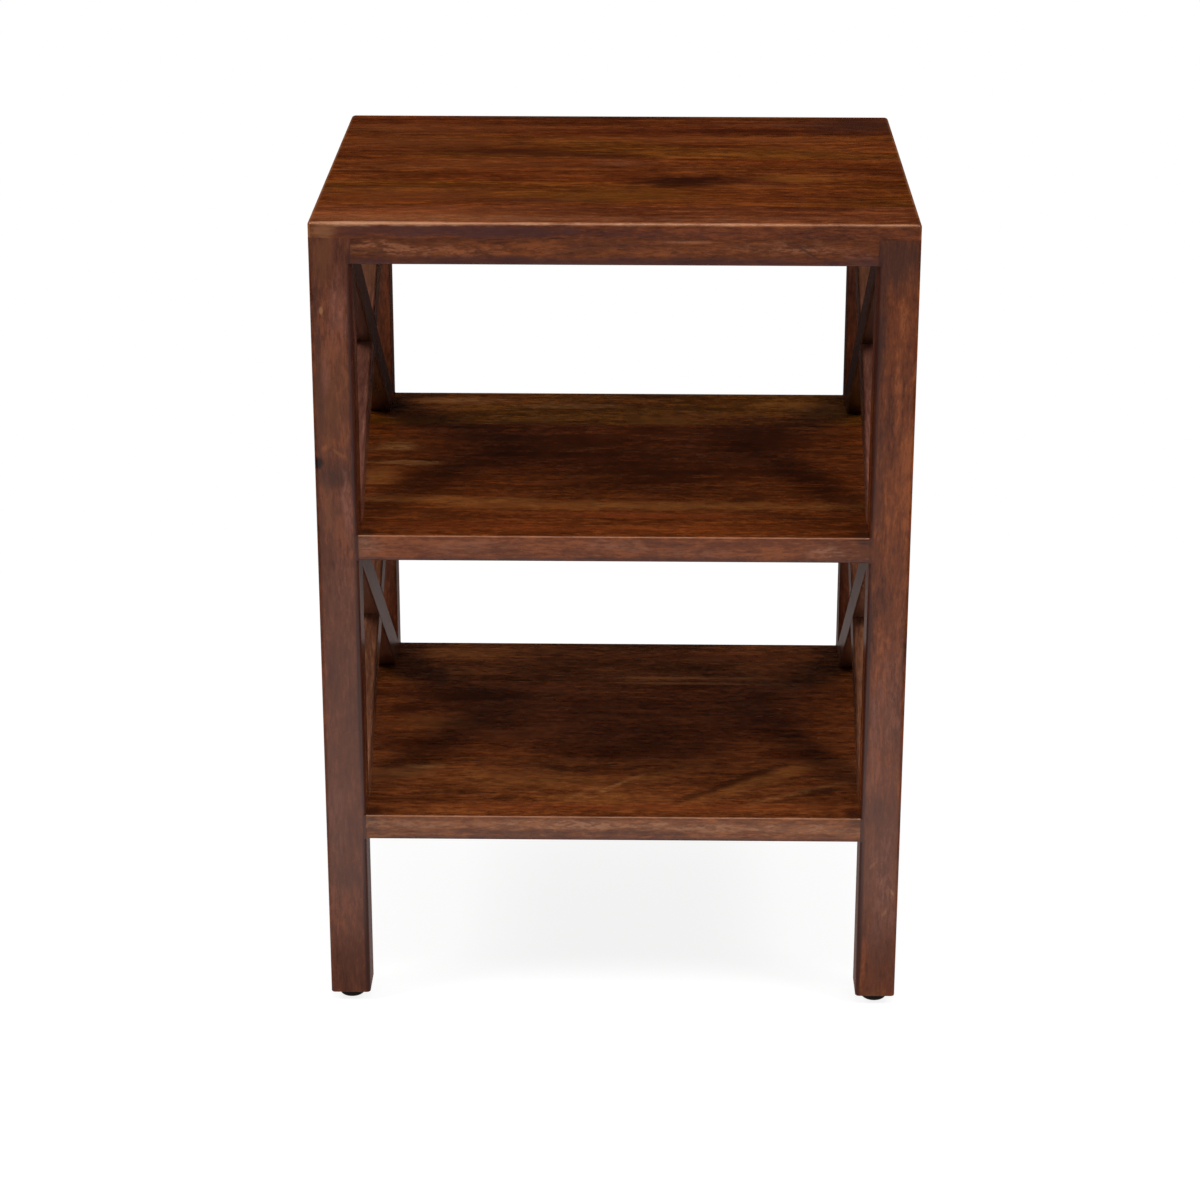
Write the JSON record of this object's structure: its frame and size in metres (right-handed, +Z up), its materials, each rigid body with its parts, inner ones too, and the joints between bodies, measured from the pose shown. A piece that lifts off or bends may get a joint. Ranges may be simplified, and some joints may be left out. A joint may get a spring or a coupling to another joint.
{
  "type": "accent table",
  "caption": "Square-legged accent table with a thin flush top, two open shelves and crossed braces on both sides.",
  "frame": {"origin": "on the floor, under the middle of the table", "axes": "+X to the right of someone facing the open front, +Y to the back, +Z up"},
  "size_m": [0.432, 0.356, 0.6135],
  "materials": {
    "top_wood": "walnut-brown stain under satin lacquer",
    "middle_shelf_wood": "walnut-brown stain under satin lacquer",
    "bottom_shelf_wood": "walnut-brown stain under satin lacquer",
    "leg_wood": "walnut-brown stain under satin lacquer",
    "rail_wood": "walnut-brown stain under satin lacquer",
    "brace_wood": "walnut-brown stain under satin lacquer",
    "dowel_wood": "bare beech",
    "glide_plastic": "black moulded plastic",
    "screw_steel": "yellow-passivated steel",
    "nail_steel": "bright steel"
  },
  "bodies": {
    "root": {"back_left_glide": "glide_plastic", "back_left_leg": "leg_wood", "back_rail": "rail_wood", "back_right_glide": "glide_plastic", "back_right_leg": "leg_wood", "bottom_shelf_back_board": "bottom_shelf_wood", "bottom_shelf_dowels": "dowel_wood", "bottom_shelf_front_board": "bottom_shelf_wood", "bottom_shelf_second_board": "bottom_shelf_wood", "bottom_shelf_third_board": "bottom_shelf_wood", "front_left_glide": "glide_plastic", "front_left_leg": "leg_wood", "front_rail": "rail_wood", "front_right_glide": "glide_plastic", "front_right_leg": "leg_wood", "glide_nails": "nail_steel", "left_brace_dowels": "dowel_wood", "left_lower_falling_brace": "brace_wood", "left_lower_rising_brace": "brace_wood", "left_rail": "rail_wood", "left_upper_falling_brace": "brace_wood", "left_upper_rising_brace": "brace_wood", "long_rail_dowels": "dowel_wood", "middle_shelf_back_board": "middle_shelf_wood", "middle_shelf_dowels": "dowel_wood", "middle_shelf_front_board": "middle_shelf_wood", "middle_shelf_second_board": "middle_shelf_wood", "middle_shelf_third_board": "middle_shelf_wood", "right_brace_dowels": "dowel_wood", "right_lower_falling_brace": "brace_wood", "right_lower_rising_brace": "brace_wood", "right_rail": "rail_wood", "right_upper_falling_brace": "brace_wood", "right_upper_rising_brace": "brace_wood", "side_rail_dowels": "dowel_wood", "top_back_board": "top_wood", "top_fourth_board": "top_wood", "top_front_board": "top_wood", "top_screws": "screw_steel", "top_second_board": "top_wood", "top_third_board": "top_wood"}
  },
  "joints": []
}
